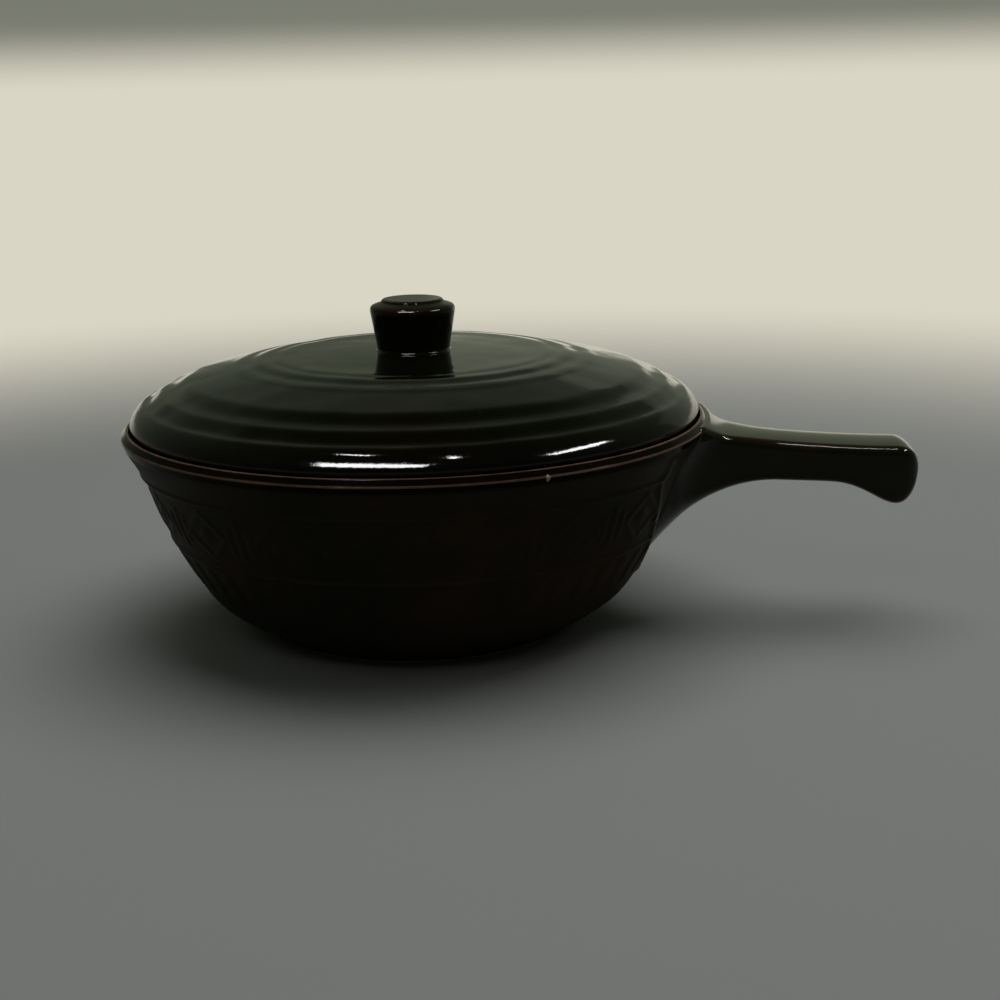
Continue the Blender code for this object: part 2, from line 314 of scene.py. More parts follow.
# Pinholes: cells to a metre, radius in cells, and the chance that a cell has none
PIT_CELLS = 150
PIT_RADIUS = 0.045
PIT_CHANCE = 0.86

# Roughness and bump
ROUGH_LEAST = 0.01
ROUGH_MOTTLE = 0.05
ROUGH_CLOUDS = 0.06
ROUGH_CLAY = 0.75
BUMP_DEPTH = 0.00006
BUMP_MOTTLE = 0.6
BUMP_GRAIN = 0.06
BUMP_PIT = -0.8
BUMP_CLAY = 1.5

# Places that follow from the sizes
BOWL_HEIGHT = CREST_Z - LIP_RISE
BELOW_RIM_Z = BOWL_HEIGHT - 2 * RIM_ROUND
LEDGE_Z = BOWL_HEIGHT - LEDGE_DEPTH
CREST_RADIUS = RIM_RADIUS - LIP_INSET
LIP_INNER_RADIUS = RIM_RADIUS - LIP_THICKNESS
THROAT_RADIUS = LIP_INNER_RADIUS - LEDGE_WIDTH
THROAT_Z = LEDGE_Z - FLANGE_DEPTH - FLANGE_ROOM
LID_SEAT_Z = FLANGE_Z + FLANGE_DEPTH
LID_EDGE_Z = LID_SEAT_Z + LID_EDGE_HEIGHT
FLANGE_RADIUS = THROAT_RADIUS - FLANGE_CLEARANCE
FLANGE_INSIDE_RADIUS = FLANGE_RADIUS - FLANGE_THICKNESS
UNDER_RADIUS = FLANGE_INSIDE_RADIUS - LID_WALL / 2
HANDLE_TOP_Z = BOWL_HEIGHT - HANDLE_DROP
HANDLE_REACH = TIP_X - RIM_RADIUS
TIP_START = HANDLE_REACH - TIP_LENGTH

# Camera, from the outlines in the photograph
CAMERA_AZIMUTH = math.radians(8)
CAMERA_DISTANCE = 0.5925
CAMERA_HEIGHT = 0.1903
CAMERA_ROLL = 0.034
AIM_HEIGHT = 0.050
AIM_PIXEL = (418.2, 477.8)
FOCAL_PIXELS = 1720
IMAGE_PIXELS = 1000
SENSOR_WIDTH = 36

# Floor, which fades out with the distance from the foot
FLOOR_COLOR = (0.205, 0.212, 0.205, 1)
FLOOR_ROUGHNESS = 0.9
FLOOR_GLOSS = 0.1
FLOOR_SIZE = 12
FLOOR_FADE = (0.30, 0.85)

# Soft light from all round, by the sine of its elevation: brighter low down than overhead.
# It is also brighter behind the object than in front of it, and a little brighter on its left.
ROOM_LIGHT = (
    (0.00, (0.28, 0.285, 0.24, 1)),
    (0.10, (0.200, 0.222, 0.160, 1)),
    (0.30, (0.200, 0.236, 0.165, 1)),
    (0.62, (0.203, 0.240, 0.170, 1)),
    (1.00, (0.050, 0.053, 0.026, 1)),
)
ROOM_LEVEL = 0.45
ROOM_RIGHT = -0.03
ROOM_BEHIND = 0.32
ROOM_LEAST = 0.15
BACKDROP = (0.70, 0.67, 0.56, 1)
BACKDROP_SIDES = (0.70, 0.90)
BACKDROP_TOP = (0.03, -0.01)

# Lamps: degrees round from the camera and up, metres away, width, height, radiance, colour, and the job.
# The top lamp lights the object, and the others show only as reflections in its glaze.
LAMPS = (
    ("lamp_top", 130, 77, 1.5, 1.5, 1.5, 3.2, (1, 1, 1), "light"),
    ("lamp_left", -20, 42, 1.5, 0.95, 0.27, 60, (1, 1, 1), "gloss"),
    ("lamp_right", 72, 37, 1.5, 0.66, 0.11, 60, (1, 1, 1), "gloss"),
    ("lamp_wall", 158, 4, 1.9, 1.5, 0.16, 0.45, (1, 0.93, 0.76), "gloss"),
    ("lamp_edge", 20.3, 60, 1.5, 0.03, 0.12, 160, (1, 1, 1), "gloss"),
    ("lamp_high", -52, 72, 1.5, 0.22, 0.09, 60, (1, 1, 1), "gloss"),
    ("lamp_back", 151, 16, 1.9, 2.0, 0.9, 0.125, (0.96, 1, 0.79), "gloss"),
)

Section = namedtuple("Section", "top under half_top half_under under_radius narrowing")


def smooth_value(table, place):
    """Read a smooth curve through a table of places and values."""
    last = len(table) - 1
    index = 0
    while index < last - 1 and table[index + 1][0] < place:
        index += 1
    (x0, y0), (x1, y1) = table[index], table[index + 1]
    before = table[max(index - 1, 0)]
    after = table[min(index + 2, last)]
    slope0 = (y1 - before[1]) / (x1 - before[0])
    slope1 = (after[1] - y0) / (after[0] - x0)
    step = x1 - x0
    t = (place - x0) / step
    rise = (y1 - y0) * (3 - 2 * t) * t * t
    return y0 + rise + slope0 * step * t * (1 - t) ** 2 - slope1 * step * t * t * (1 - t)


def smoothstep(value):
    """A soft step from 0 to 1 as the value goes from 0 to 1."""
    value = np.clip(value, 0, 1)
    return value * value * (3 - 2 * value)


def noise_at(points, length, use):
    """Smooth noise from about -1 to 1 at each point, with bumps of the given length."""
    start = NOISE_STARTS[use]
    shift = Vector((start, start / 2, -start))
    values = [noise.noise(Vector(point) / length + shift) for point in points.reshape(-1, 3)]
    return np.array(values).reshape(points.shape[:-1])


def wall_radius(height):
    """Outer radius of the bowl at a height, without its beads and relief."""
    share = smooth_value(WALL_SHARES, height / BOWL_HEIGHT)
    return FOOT_RADIUS + (RIM_RADIUS - FOOT_RADIUS) * share


def wall_radii(heights):
    """Outer radius of the bowl at each of many heights."""
    return np.array([wall_radius(height) for height in heights])


def round_points(radius, height, angles):
    """Points in space from their radii, heights and angles."""
    return np.stack([radius * np.cos(angles), radius * np.sin(angles), height], axis=-1)


def rounded(corners):
    """A path of points through corners given as (radius, height, rounding)."""
    path = []
    for index, (radius, height, rounding) in enumerate(corners):
        here = Vector((radius, height))
        if rounding == 0:
            path.append(here)
            continue
        before = Vector(corners[index - 1][:2]) - here
        after = Vector(corners[index + 1][:2]) - here
        reach = rounding / math.tan(before.angle(after) / 2)
        start = here + before.normalized() * min(reach, before.length / 2)
        end = here + after.normalized() * min(reach, after.length / 2)
        for step in range(ROUND_STEPS + 1):
            t = step / ROUND_STEPS
            path.append(start.lerp(here, t).lerp(here.lerp(end, t), t))
    return path


def divided(path, longest):
    """The same path with no stretch longer than the given length."""
    points = [path[0]]
    for near, far in zip(path, path[1:]):
        count = max(math.ceil((far - near).length / longest), 1)
        for step in range(1, count + 1):
            points.append(near.lerp(far, step / count))
    return points


class Nodes:
    """Short calls that make and join the nodes of a material or a world."""

    def __init__(self, owner):
        owner.use_nodes = True
        self.nodes = owner.node_tree.nodes
        self.links = owner.node_tree.links

    def feed(self, socket, value):
        """Give an input a fixed value, or link it to another node's output."""
        if isinstance(value, bpy.types.NodeSocket):
            self.links.new(value, socket)
        else:
            socket.default_value = value

    def add(self, kind, **inputs):
        """A new node, with its inputs by name."""
        made = self.nodes.new("ShaderNode" + kind)
        for name, value in inputs.items():
            self.feed(made.inputs[name.replace("_", " ")], value)
        return made

    def math(self, operation, *values):
        """The result of a Math node."""
        made = self.add("Math")
        made.operation = operation
        for socket, value in zip(made.inputs, values):
            self.feed(socket, value)
        return made.outputs[0]

    def noise(self, place, pattern):
        """The values of a noise pattern."""
        return self.add("TexNoise", Vector=place, **pattern).outputs["Fac"]

    def step(self, value, stops, interpolation):
        """A step from 0 to 1 as the value goes from the first stop to the second."""
        made = self.add("MapRange", Value=value, From_Min=stops[0], From_Max=stops[1])
        made.interpolation_type = interpolation
        return made.outputs["Result"]

    def ramp(self, factor, stops, colors):
        """Colours that change from stop to stop."""
        made = self.add("ValToRGB", Fac=factor)
        elements = made.color_ramp.elements
        while len(elements) < len(stops):
            elements.new(0.5)
        for element, stop, color in zip(elements, stops, colors):
            element.position = stop
            element.color = color
        return made.outputs["Color"]

    def blend(self, share, first, second):
        """A mix of two colours."""
        made = self.add("Mix")
        made.data_type = "RGBA"
        for name, value in (("Factor", share), ("A", first), ("B", second)):
            self.feed(made.inputs[name], value)
        return made.outputs["Result"]

    def attribute(self, name):
        """A number that the mesh keeps for each of its points."""
        made = self.add("Attribute")
        made.attribute_name = name
        return made.outputs["Fac"]


def glaze_color(tree, part, place, clouds, mottle):
    """Dark glaze with a redder tone here and there, which turns brown and then tan where it is thin."""
    # The thin places move in and out with the clouds and the mottle
    uneven = tree.math("MULTIPLY_ADD", clouds, CLOUD_SHARE, tree.math("MULTIPLY", mottle, 1 - CLOUD_SHARE))
    thin = tree.math("ADD", tree.attribute("thin"), tree.math("SUBTRACT", uneven, UNEVEN_MIDDLE))
    tone = tree.noise(place, TONE)
    glossy = tree.ramp(tone, GLOSSY_STOPS, (DARK[part], RED[part]))
    satin = tree.ramp(tone, SATIN_STOPS, (DARK_SATIN, RED_SATIN))
    body = tree.blend(tree.attribute("satin"), glossy, satin)
    edge = tree.ramp(thin, EDGE_STOPS, (BROWN, TAN))
    return tree.blend(tree.step(thin, THIN_STOPS, "LINEAR"), body, edge)


def pinholes(tree, place):
    """Small pits in about one cell in seven."""
    cells = tree.add("TexVoronoi", Vector=place, Scale=PIT_CELLS)
    chance = tree.add("SeparateColor", Color=cells.outputs["Color"]).outputs["Red"]
    pit = tree.math("LESS_THAN", cells.outputs["Distance"], PIT_RADIUS)
    return tree.math("MULTIPLY", pit, tree.math("GREATER_THAN", chance, PIT_CHANCE))


def bare_clay(tree, mottle):
    """1 where the glaze is missing and 0 elsewhere, with a ragged edge."""
    ragged = tree.math("MULTIPLY_ADD", mottle, BARE_RAG, tree.attribute("bare"))
    return tree.math("GREATER_THAN", ragged, BARE_FROM)


def glaze_roughness(tree, clouds, mottle, bare):
    """Smooth glaze, duller where it is satin, and rough clay."""
    rough = tree.math("MULTIPLY_ADD", mottle, ROUGH_MOTTLE, ROUGH_LEAST)
    rough = tree.math("MULTIPLY_ADD", clouds, ROUGH_CLOUDS, rough)
    rough = tree.math("MULTIPLY_ADD", tree.attribute("satin"), SATIN, rough)
    return tree.math("MULTIPLY_ADD", bare, ROUGH_CLAY, rough)


def glaze_bump(tree, pit, mottle, grain, bare):
    """The fine unevenness of the glaze, its pinholes and the grain of bare clay."""
    height = tree.math("MULTIPLY_ADD", mottle, BUMP_MOTTLE, tree.math("MULTIPLY", grain, BUMP_GRAIN))
    height = tree.math("MULTIPLY_ADD", pit, BUMP_PIT, height)
    height = tree.math("MULTIPLY_ADD", tree.math("MULTIPLY", bare, grain), BUMP_CLAY, height)
    return tree.add("Bump", Height=height, Distance=BUMP_DEPTH, Strength=1).outputs["Normal"]


def glaze(name, part):
    """Dark brown glaze: redder and lighter where it is thin, with bare clay where it is missing."""
    material = bpy.data.materials.new(name)
    tree = Nodes(material)
    shader = tree.nodes["Principled BSDF"]
    place = tree.add("TexCoord").outputs["Object"]
    clouds = tree.noise(place, CLOUDS)
    mottle = tree.noise(place, MOTTLE)
    grain = tree.noise(place, GRAIN)
    bare = bare_clay(tree, mottle)
    clay = tree.ramp(grain, CLAY_STOPS, (CLAY_DARK, CLAY))
    color = glaze_color(tree, part, place, clouds, mottle)
    bump = glaze_bump(tree, pinholes(tree, place), mottle, grain, bare)
    tree.feed(shader.inputs["Base Color"], tree.blend(bare, color, clay))
    tree.feed(shader.inputs["Roughness"], glaze_roughness(tree, clouds, mottle, bare))
    tree.feed(shader.inputs["Specular IOR Level"], GLOSS[part])
    tree.feed(shader.inputs["Normal"], bump)
    return material


def convexity(mesh):
    """How sharply the surface turns away at each point, in 1/m, evened out a little."""
    count = len(mesh.vertices)
    points = np.zeros(count * 3, np.float32)
    normals = np.zeros(count * 3, np.float32)
    ends = np.zeros(len(mesh.edges) * 2, np.int32)
    mesh.vertices.foreach_get("co", points)
    mesh.vertex_normals.foreach_get("vector", normals)
    mesh.edges.foreach_get("vertices", ends)
    points, normals, ends = points.reshape(-1, 3), normals.reshape(-1, 3), ends.reshape(-1, 2)
    here = np.concatenate([ends[:, 0], ends[:, 1]])
    there = np.concatenate([ends[:, 1], ends[:, 0]])
    away = points[here] - points[there]
    length = np.linalg.norm(away, axis=1) + LEAST_LENGTH
    turn = 2 * (away * normals[here]).sum(axis=1) / length**2
    links = np.maximum(np.bincount(here, minlength=count), 1)
    value = np.bincount(here, turn, count) / links
    for _ in range(EVENING_ROUNDS):
        value = (value + np.bincount(here, value[there], count) / links) / 2
    return value


def keep_values(mesh, kind, values):
    """Keep a number for each point of a mesh, for its glaze to read."""
    mesh.attributes.new(kind, "FLOAT", "POINT").data.foreach_set("value", values.astype(np.float32))


def mesh_object(name, points, faces, body, slot, node, bare=None, satin=None):
    """A smooth mesh that stands for one node, with where its glaze is thin, missing or satin."""
    mesh = bpy.data.meshes.new(name)
    mesh.from_pydata(points, [], faces)
    mesh.shade_smooth()
    mesh.update()
    keep_values(mesh, "thin", np.clip(convexity(mesh) / THIN_CURVE, 0, 1) * THINNING[node])
    for kind, place in (("bare", bare), ("satin", satin)):
        keep_values(mesh, kind, place(np.array(points)) if place else np.zeros(len(points)))
    mesh.materials.append(glaze(slot, node))
    piece = bpy.data.objects.new(name, mesh)
    bpy.context.scene.collection.objects.link(piece)
    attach(piece, body)
    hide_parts(node)
    return piece


def turned_points(path, steps, shaped=None):
    """Points of a turned solid: its top pole, its rings and its bottom pole."""
    angles = np.arange(steps) * math.tau / steps
    path = np.array(path)
    radius = np.repeat(path[1:-1, :1], steps, axis=1)
    height = np.repeat(path[1:-1, 1:], steps, axis=1)
    if shaped:
        radius, height = shaped(radius, height, angles)
    rings = round_points(radius, height, angles).reshape(-1, 3)
    return np.concatenate([[(0, 0, path[0][1])], rings, [(0, 0, path[-1][1])]])


def turned_faces(rings, steps):
    """Faces of a turned solid, in the order of turned_points."""
    near = np.arange(steps)
    far = (near + 1) % steps
    faces = []
    for ring in range(rings - 1):
        first = 1 + ring * steps
        second = first + steps
        faces += np.stack([first + near, second + near, second + far, first + far], axis=1).tolist()
    last = 1 + (rings - 1) * steps
    top = np.stack([np.zeros(steps, int), 1 + near, 1 + far], axis=1)
    bottom = np.stack([last + near, np.full(steps, last + steps), last + far], axis=1)
    return top.tolist() + faces + bottom.tolist()


def turned(name, path, steps, body, slot, node, shaped=None, bare=None, satin=None):
    """A fine turned piece."""
    points = turned_points(path, steps, shaped).tolist()
    faces = turned_faces(len(path) - 2, steps)
    return mesh_object(name, points, faces, body, slot, node, bare, satin)


def raised(distance):
    """Share of the relief's height at a distance outside a motif's outline."""
    return smoothstep(0.5 - distance / RELIEF_EDGE)


def upright_bar(across, up, half_width, half_length):
    """A bar with round ends, as a share of the relief's height."""
    beyond = np.maximum(np.abs(up) - half_length, 0)
    return raised(np.hypot(across, beyond) - half_width)


def around(angles, copies, height):
    """Distance round the wall from the middle of the nearest of some copies, and the width of each."""
    width = math.tau * wall_radius(height) / copies
    return ((angles / math.tau * copies) % 1 - 0.5) * width, width


def band(angles, height, middle):
    """Lozenges with a core, and between each two a bar with a shorter one on each side of it."""
    across, cell = around(angles, LOZENGES, middle)
    up = height - middle
    slant = math.hypot(LOZENGE_HALF_WIDTH, LOZENGE_HALF_HEIGHT)
    reach = np.abs(across) / LOZENGE_HALF_WIDTH + np.abs(up) / LOZENGE_HALF_HEIGHT
    scale = LOZENGE_HALF_WIDTH * LOZENGE_HALF_HEIGHT / slant
    ridge = raised(np.abs(reach - 1) * scale - LOZENGE_RIDGE / 2)
    core = raised((reach - LOZENGE_CORE_SHARE) * scale)
    from_edge = cell / 2 - np.abs(across)
    bars = upright_bar(from_edge, up, BAR_HALF_WIDTH, BAR_HALF_LENGTH)
    side_bars = upright_bar(from_edge - BAR_SPACING, up, BAR_HALF_WIDTH, SIDE_BAR_HALF_LENGTH)
    return np.maximum.reduce([ridge, core, bars, side_bars])


def relief(angles, height):
    """How far the relief stands out from the wall: a band between the raised lines, and flutes below."""
    upper, lower = (share * BOWL_HEIGHT for share in BEAD_SHARES)
    flute_middle = lower - FLUTE_GAP
    across, _ = around(angles, FLUTES, flute_middle)
    flutes = upright_bar(across, height - flute_middle, FLUTE_HALF_WIDTH, FLUTE_HALF_LENGTH)
    return RELIEF_HEIGHT * np.maximum(band(angles, height, (upper + lower) / 2), flutes)


def patch(angles, height):
    """How much relief the patch round the handle's root leaves, from 0 to 1, and the ridge at its edge."""
    rise = np.clip((height - PATCH_LOW_Z) / (BOWL_HEIGHT - PATCH_LOW_Z), 0, 1)
    edge = PATCH_TURN * rise**PATCH_POWER
    places = np.zeros(height.shape + (3,))
    places[..., 0] = height
    wobble = PATCH_WOBBLE * noise_at(places, PATCH_WOBBLE_LENGTH, "patch")
    turn = np.abs((angles + math.pi) % math.tau - math.pi) - edge - wobble
    below = smoothstep((PATCH_LOW_Z - height) / BEAD_WIDTH)
    ridge = PATCH_RIDGE_HEIGHT * np.exp(-((turn / PATCH_RIDGE_WIDTH) ** 2)) * (1 - below)
    ridge *= smoothstep((BOWL_HEIGHT - height) / PATCH_RIDGE_FADE - 1)
    return np.maximum(smoothstep(turn / PATCH_EDGE), below), ridge


def bead(height):
    """How far the two raised lines stand out from the wall."""
    out = np.zeros_like(height)
    for share in BEAD_SHARES:
        place = np.clip((height - share * BOWL_HEIGHT) / BEAD_WIDTH, -0.5, 0.5)
        out += BEAD_HEIGHT * np.cos(place * math.pi) ** 2
    return out


def bowl_inside():
    """Section of the bowl's inside, from the middle of its floor up to its throat."""
    path = [Vector((0, FLOOR))]
    for step in range(ROUND_STEPS + 1):
        turn = math.pi / 2 * step / ROUND_STEPS
        height = FLOOR + FLOOR_FILLET * (1 - math.cos(turn))
        radius = wall_radius(height) - WALL - FLOOR_FILLET * (1 - math.sin(turn))
        path.append(Vector((radius, height)))
    fillet_top = FLOOR + FLOOR_FILLET
    rings = round((THROAT_Z - fillet_top) / PLAIN_RING)
    for ring in range(1, rings):
        height = fillet_top + (THROAT_Z - fillet_top) * ring / rings
        path.append(Vector((wall_radius(height) - WALL, height)))
    return divided(path, PLAIN_RING * 2)


def bowl_lip():
    """Section of the ledge and the lip, over the crest to just below the rim."""
    path = rounded([
        (THROAT_RADIUS, THROAT_Z, 0),
        (THROAT_RADIUS, LEDGE_Z, LEDGE_ROUND),
        (LIP_INNER_RADIUS, LEDGE_Z, LEDGE_ROUND / 2),
        (LIP_INNER_RADIUS, CREST_Z, CREST_ROUND),
        (CREST_RADIUS, CREST_Z, CREST_ROUND),
        (RIM_RADIUS - LIP_EDGE_INSET, BOWL_HEIGHT + LIP_EDGE_HEIGHT, LIP_EDGE_HEIGHT),
        (RIM_RADIUS, BOWL_HEIGHT, RIM_ROUND),
        (wall_radius(BELOW_RIM_Z), BELOW_RIM_Z, 0),
    ])
    return divided(path, LIP_RING)


def bowl_wall():
    """Section of the outer wall, from just below the rim to just above the foot's bevel."""
    rings = round((BELOW_RIM_Z - FOOT_BEVEL) / WALL_RING)
    path = []
    for ring in range(1, rings):
        height = BELOW_RIM_Z + (FOOT_BEVEL - BELOW_RIM_Z) * ring / rings
        path.append(Vector((wall_radius(height), height)))
    return path


def bowl_foot(start):
    """Section of the foot after the wall's last point: its bevel, its bare ring and its recess."""
    path = rounded([
        (start.x, start.y, 0),
        (FOOT_RADIUS, FOOT_BEVEL, FOOT_BEVEL / 2),
        (FOOT_RADIUS - FOOT_BEVEL, 0, FOOT_BEVEL / 2),
        (FOOT_RADIUS - FOOT_RING_WIDTH, 0, FOOT_RECESS / 2),
        (FOOT_RADIUS - FOOT_RING_WIDTH - FOOT_RECESS, FOOT_RECESS, FOOT_RECESS / 2),
        (0, FOOT_RECESS, 0),
    ])
    return divided(path[1:-1], PLAIN_RING) + divided(path[-2:], PLAIN_RING * 3)[1:]


def bowl_bare(points):
    """Where the bowl's clay is bare, from 0 to 1: on the foot's ring and in the chip."""
    radius = np.hypot(points[:, 0], points[:, 1])
    foot = smoothstep((FOOT_BEVEL - points[:, 2]) / FOOT_BEVEL) * (radius < FOOT_RADIUS)
    chip_place = (RIM_RADIUS * math.cos(CHIP_TURN), RIM_RADIUS * math.sin(CHIP_TURN), CHIP_Z)
    away = (points - chip_place) / (1, 1, CHIP_STRETCH)
    chip = smoothstep(CHIP_REACH - np.linalg.norm(away, axis=1) / CHIP_WIDTH)
    return np.maximum(foot, chip)


def bowl_satin(points):
    """Where the bowl's glaze is dull, from 0 to 1: on the outer wall and partly inside, not on the lip."""
    heights = np.clip(points[:, 2], 0, BOWL_HEIGHT)
    outside = np.hypot(points[:, 0], points[:, 1]) > wall_radii(heights) - WALL / 2
    _, ridge = patch(np.arctan2(points[:, 1], points[:, 0]), heights)
    below_rim = smoothstep((BOWL_HEIGHT - SATIN_BELOW_RIM - points[:, 2]) / SATIN_BELOW_RIM)
    wall_satin = below_rim * (1 - PATCH_RIDGE_GLOSS * ridge / PATCH_RIDGE_HEIGHT)
    inside_satin = INSIDE_SATIN * smoothstep((LEDGE_Z - LEDGE_ROUND - heights) / LEDGE_ROUND)
    return np.where(outside, wall_satin, inside_satin)


def make_bowl():
    """The bowl, with its beads, its relief and the slight lumps of a turned wall."""
    inside = bowl_inside()
    wall = bowl_wall()
    path = inside + bowl_lip() + wall + bowl_foot(wall[-1])
    names = ("dish", "bowl_glaze", "bowl")

    def shaped(radius, height, angles):
        outside = smoothstep((BOWL_HEIGHT - 4 * RIM_ROUND - height) / RIM_ROUND)
        outside[:len(inside)] = 0
        outside *= smoothstep((height - 2 * FOOT_BEVEL) / FOOT_BEVEL)
        lumps = LUMP * noise_at(round_points(radius, height, angles), WALL_LUMP_LENGTH, "wall lumps")
        left, ridge = patch(angles, height)
        out = left * (bead(height) + relief(angles, height)) + ridge + lumps
        return radius + outside * out, height

    return turned("bowl_fine", path, BOWL_STEPS, *names, shaped, bowl_bare, bowl_satin)


def lid_curve():
    """Radii and heights along the top of the lid, closely spaced, summed from its slopes."""
    radii = np.linspace(0, LID_RADIUS, LID_CURVE_STEPS)
    places, degrees = (np.array(column) for column in zip(*LID_SLOPES))
    index = np.clip(np.searchsorted(places * LID_RADIUS, radii) - 1, 0, len(places) - 2)
    between = (radii / LID_RADIUS - places[index]) / (places[index + 1] - places[index])
    degrees = degrees[index] + (degrees[index + 1] - degrees[index]) * smoothstep(between)
    falls = np.tan(np.radians(degrees))
    drops = np.concatenate([[0], np.cumsum(falls[1:] + falls[:-1])])
    return radii, LID_CROWN_Z - (LID_CROWN_Z - LID_EDGE_Z) * drops / drops[-1]


def lid_top(curve):
    """Section of the lid's top, with rings that lie closer towards the edge, where it turns down."""
    rings = round(LID_RADIUS / LID_RING)
    path = [Vector((0, LID_CROWN_Z))]
    for ring in range(1, rings):
        radius = LID_RADIUS * math.sin(math.pi / 2 * ring / rings) ** LID_RING_POWER
        path.append(Vector((radius, np.interp(radius, *curve))))
    return path


def lid_edge(start, curve):
    """Section of the lid after its top's last point: its edge, its seat, its flange and a corner."""
    under_z = np.interp(UNDER_RADIUS, *curve) - LID_WALL
    path = rounded([
        (start.x, start.y, 0),
        (LID_RADIUS, LID_EDGE_Z, LID_EDGE_ROUND),
        (LID_RADIUS - LID_EDGE_TAPER, LID_SEAT_Z, LID_EDGE_ROUND),
        (FLANGE_RADIUS, LID_SEAT_Z, FLANGE_ROUND / 2),
        (FLANGE_RADIUS, FLANGE_Z, FLANGE_ROUND),
        (FLANGE_INSIDE_RADIUS, FLANGE_Z, FLANGE_ROUND),
        (FLANGE_INSIDE_RADIUS, under_z, FLANGE_CORNER_ROUND),
        (UNDER_RADIUS, under_z, 0),
    ])
    return divided(path[1:], PLAIN_RING / 2)


def lid_under(curve):
    """Section of the lid's underside, from near the flange to the middle."""
    rings = round(UNDER_RADIUS / PLAIN_RING)
    path = []
    for ring in range(rings - 1, -1, -1):
        radius = UNDER_RADIUS * ring / rings
        path.append(Vector((radius, np.interp(radius, *curve) - LID_WALL)))
    return path


def make_lid():
    """The lid, whose terraces waver a little round it."""
    curve = lid_curve()
    top = lid_top(curve)
    path = top + lid_edge(top[-1], curve) + lid_under(curve)

    def shaped(radius, height, angles):
        share = smoothstep((radius - STILL_RADIUS) / STILL_RADIUS)
        share *= smoothstep((LID_RADIUS - STILL_EDGE / 2 - radius) / STILL_EDGE)
        share[len(top) - 1:] = 0
        circle = round_points(1, 0 * angles, angles)
        points = round_points(radius, height, angles)
        shift = WAVER * noise_at(circle * WAVER_TURNS, 1, "waver")
        shift = shift + RIPPLE * noise_at(points, RIPPLE_LENGTH, "ripple")
        lumps = LUMP * noise_at(points, LUMP_LENGTH, "lid lumps")
        moved = np.interp(radius + share * shift, *curve) - np.interp(radius, *curve)
        return radius, np.minimum(height + moved + share * lumps, LID_CROWN_Z)

    return turned("lid_fine", path, LID_STEPS, "cover", "lid_glaze", "lid", shaped)


def make_knob():
    """The knob: a cone that is wider above, with a low disc on top and a foot that flares into the lid."""
    top_z = KNOB_DISC_Z - KNOB_SHOULDER_DROP
    crease_radius = KNOB_DISC_RADIUS + KNOB_DISC_ROUND / 2
    sunk_z = LID_CROWN_Z - KNOB_SINK
    path = rounded([
        (0, KNOB_DISC_Z, 0),
        (KNOB_DISC_RADIUS, KNOB_DISC_Z, KNOB_DISC_ROUND),
        (crease_radius, KNOB_DISC_Z - KNOB_DISC_STEP, KNOB_CREASE_ROUND),
        (KNOB_TOP_RADIUS, top_z, KNOB_ROUND),
        (KNOB_BASE_RADIUS, LID_CROWN_Z, KNOB_FOOT_ROUND),
        (KNOB_BASE_RADIUS + KNOB_FOOT_FLARE, sunk_z, 0),
        (0, sunk_z, 0),
    ])
    return turned("knob_fine", divided(path, LID_RING), KNOB_STEPS, "cover", "knob_glaze", "knob")


def root_x():
    """Where the handle starts, inside the wall at the height that its root reaches down to."""
    return wall_radius(HANDLE_TOP_Z - HANDLE_THICKNESS - ROOT_DEPTH) - ROOT_BITE - RIM_RADIUS


def handle_stations():
    """Places along the handle, out from the rim, closer at the tip."""
    start = root_x()
    places = list(np.linspace(start, TIP_START, round((TIP_START - start) / HANDLE_STATION)))
    for step in range(1, TIP_STATIONS + 1):
        places.append(TIP_START + TIP_LENGTH * math.sin(math.pi / 2 * step / TIP_STATIONS))
    return places


def quarter(centre, width, depth, start):
    """Points on a quarter of an ellipse that turns clockwise from an angle in degrees."""
    points = []
    for step in range(HANDLE_CORNER_STEPS + 1):
        angle = math.radians(start - 90 * step / HANDLE_CORNER_STEPS)
        points.append(Vector((centre[0] + width * math.cos(angle), centre[1] + depth * math.sin(angle))))
    return points


def handle_lines(x):
    """Heights of the handle's top line, which falls and levels out, and of its underside's line."""
    out = (x - ROOT_START) / (HANDLE_REACH - ROOT_START)
    out_from_rim = max(out, -ROOT_START / (HANDLE_REACH - ROOT_START))
    return HANDLE_FALL * ((1 - out_from_rim) ** 2 - 1), -HANDLE_UNDER_FALL * out - HANDLE_THICKNESS


def section_sizes(x):
    """Heights and half widths of the handle's section at x."""
    toward_root = max((ROOT_START - x) / (ROOT_START - root_x()), 0)
    root = toward_root**ROOT_POWER
    spread = min(max((TOP_SPREAD_START - x) / TOP_SPREAD_LENGTH, 0), 1) ** ROOT_POWER
    swell = min(max((x - TIP_START + TIP_SWELL_LENGTH) / TIP_SWELL_LENGTH, 0), 1)
    swell = smoothstep(swell**TIP_SWELL_POWER)
    end = 1 - math.sqrt(max(1 - max((x - TIP_START) / TIP_LENGTH, 0) ** 2, 0))
    narrowing = 1 - (1 - TIP_END_WIDTH / HANDLE_WIDTH) * end
    top, under = handle_lines(x)
    top += ROOT_RISE * root - TIP_TOP_ROUND * end
    under_rise = HANDLE_THICKNESS + TIP_SWELL - TIP_TOP_ROUND - TIP_END_DEPTH
    under += under_rise * end - TIP_SWELL * swell - ROOT_DEPTH * toward_root**ROOT_DEPTH_POWER
    return Section(
        top=top,
        under=under,
        half_top=HANDLE_WIDTH / 2 * narrowing + TOP_SPREAD * spread,
        half_under=HANDLE_UNDER_WIDTH / 2 * narrowing + ROOT_UNDER_SPREAD * root,
        under_radius=HANDLE_UNDER_RADIUS + ROOT_UNDER_ROUND * root,
        narrowing=narrowing,
    )


